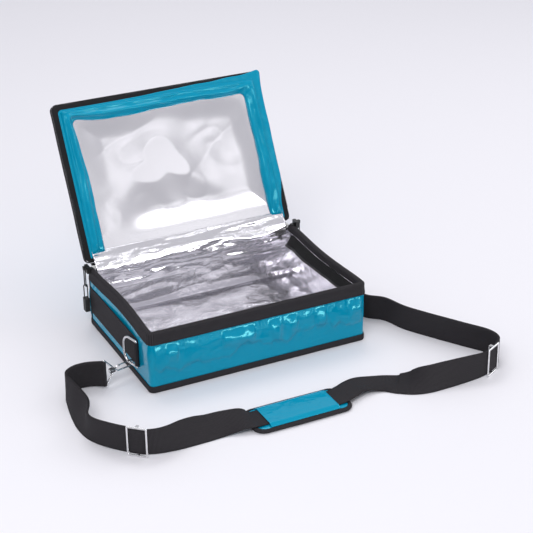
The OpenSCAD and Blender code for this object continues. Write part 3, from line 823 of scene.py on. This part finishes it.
def pad_line(inset, count=18):
    """The pad's rounded outline, set in by inset, as evenly spaced points."""
    r = PAD_R - inset
    hx, hy = PAD_L / 2 - PAD_R, PAD_W / 2 - PAD_R
    points = []
    for k, (sx, sy) in enumerate([(-1, -1), (1, -1), (1, 1), (-1, 1)]):
        for a in np.radians(np.linspace(180 + 90 * k, 270 + 90 * k, count)):
            points.append((PAD_X + sx * hx + r * math.cos(a), PAD_Y + sy * hy + r * math.sin(a)))
    points.append(points[0])
    points = np.array(points)
    at = arc_length(points)
    return along_line(points, at, np.linspace(0, at[-1], 181)[:-1])


def pad_disc(inset, ring):
    """Grid of places from the pad's middle (ring 0) out to its outline (ring 1)."""
    return PAD_MIDDLE + (pad_line(inset)[:, None] - PAD_MIDDLE) * ring[None, :, None]


def add_pad_cover():
    """The pad's padded upper side."""
    ring = np.concatenate([np.linspace(0, 0.9, 16), np.linspace(0.92, 1, 6)])
    xy = pad_disc(2.0, ring)
    z = 2.4 + 5.3 * (1 - ring**9) ** 0.6 + 0.12 * folds(xy[..., 0] / 16, xy[..., 1] / 14, 101)
    cover = sheet("pad_top", with_height(xy, z), SKIN_T, BLUE, loop=True)
    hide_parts("pad_cover", "pad_foam")
    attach(cover, "pad")
    return cover


def add_pad_under():
    xy = pad_disc(5.0, np.linspace(0, 1, 6))
    flat = with_height(xy, np.full(xy.shape[:2], 0.9))
    pad_under = sheet("pad_under", flat, SKIN_T, BLUE, loop=True)
    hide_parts("pad_base")
    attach(pad_under, "pad")
    return pad_under


def add_pad_edge():
    """Webbing rolled round the pad's edge, open on the inside."""
    line = pad_line(3.6)
    outward = pad_line(2.6) - line
    outward /= np.linalg.norm(outward, axis=1, keepdims=True)
    turn = np.linspace(0.15 * math.pi, 1.85 * math.pi, 20)
    xy = line[:, None] + outward[:, None] * (-3.4 * np.cos(turn))[None, :, None]
    z = np.broadcast_to(4.0 + 3.3 * np.sin(turn), xy.shape[:2])
    pad_edge = sheet("pad_edge", with_height(xy, z), PAD_BAND_T, WEBBING, loop=True)
    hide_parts("pad_binding")
    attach(pad_edge, "pad")
    return pad_edge


def add_pad_sleeve():
    """Panel sewn down along both of its long edges, with the strap running under it."""
    half_l, half_w, seam = 61, 31, 8
    x, y = np.meshgrid(
        np.linspace(PAD_X - half_l, PAD_X + half_l, 80),
        np.linspace(PAD_Y - half_w, PAD_Y + half_w, 60), indexing="ij")
    up = smooth((half_w - np.abs(y - PAD_Y)) / seam)
    puff = 0.5 * (1 - ((x - PAD_X) / half_l) ** 2) * (1 + noise(x / 40, y / 20, 105))
    z = 7.9 + up * (3.4 + 0.25 * folds(x / 30, y / 22, 104) + puff)
    sleeve = sheet("pad_sleeve_panel", np.stack([x, y, z], -1), SLEEVE_T, BLUE)
    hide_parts("pad_sleeve")
    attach(sleeve, "pad")
    return sleeve


cover = add_pad_cover()
pad_under = add_pad_under()
pad_edge = add_pad_edge()
sleeve = add_pad_sleeve()

# ------------------------------------------------------------------ floor and light


def add_floor():
    mesh = bpy.data.meshes.new("floor")
    r = 30  # metres
    mesh.from_pydata([(-r, -r, 0), (r, -r, 0), (r, r, 0), (-r, r, 0)], [], [(0, 1, 2, 3)])
    obj = bpy.data.objects.new("floor", mesh)
    bpy.context.scene.collection.objects.link(obj)
    mesh.materials.append(plain("floor", (0.86, 0.85, 0.89), 0.55))


def area_light(name, location, target, size, power):
    data = bpy.data.lights.new(name, "AREA")
    data.shape, data.size, data.size_y = "RECTANGLE", size[0], size[1]
    data.energy = power
    obj = bpy.data.objects.new(name, data)
    obj.location = location
    aim = Vector(target) - Vector(location)
    obj.rotation_mode = "QUATERNION"
    obj.rotation_quaternion = aim.to_track_quat("-Z", "Y")
    bpy.context.scene.collection.objects.link(obj)
    return obj


def sky():
    """Studio surroundings: pale overhead, greyer near the horizon, uneven enough for foil."""
    world = bpy.data.worlds.new("studio")
    bpy.context.scene.world = world
    world.use_nodes = True
    tree = world.node_tree
    place = tree.nodes.new("ShaderNodeTexCoord")
    split = tree.nodes.new("ShaderNodeSeparateXYZ")
    ramp = tree.nodes.new("ShaderNodeValToRGB")
    patches = tree.nodes.new("ShaderNodeTexNoise")
    patches.inputs["Scale"].default_value = 2.6
    patches.inputs["Detail"].default_value = 1.0
    tree.links.new(place.outputs["Generated"], split.inputs[0])
    tree.links.new(place.outputs["Generated"], patches.inputs["Vector"])
    add = tree.nodes.new("ShaderNodeMath")
    add.operation = "MULTIPLY_ADD"
    add.inputs[1].default_value = 0.55
    tree.links.new(patches.outputs["Fac"], add.inputs[0])
    tree.links.new(split.outputs[2], add.inputs[2])
    tree.links.new(add.outputs[0], ramp.inputs[0])
    stops = ramp.color_ramp.elements
    stops[0].position, stops[0].color = 0.22, (0.30, 0.30, 0.33, 1)
    stops[1].position, stops[1].color = 0.60, (1.0, 1.0, 1.05, 1)
    between = stops.new(0.40)
    between.color = (0.42, 0.42, 0.46, 1)
    background = tree.nodes["Background"]
    tree.links.new(ramp.outputs[0], background.inputs["Color"])
    background.inputs["Strength"].default_value = 0.68


add_floor()
sky()
bpy.context.scene.view_settings.view_transform = "Standard"
area_light("key", (-1.6, -1.9, 2.6), (0, 0, 0), (1.6, 1.2), 37)
area_light("front", (1.1, -2.15, 1.75), (0, 0.1, 0.25), (0.6, 0.5), 1.5)
strip = area_light("strip", (0.6, -2.3, 0.42), (0, -0.14, 0.1), (2.2, 0.36), 34)
strip.visible_diffuse = False  # a glossy-only card for the PVC's highlights
area_light("fill", (2.4, -0.2, 1.7), (0, 0, 0.05), (1.4, 1.4), 12)
area_light("top", (0.2, 1.2, 2.8), (0, 0, 0.1), (1.8, 1.0), 16)
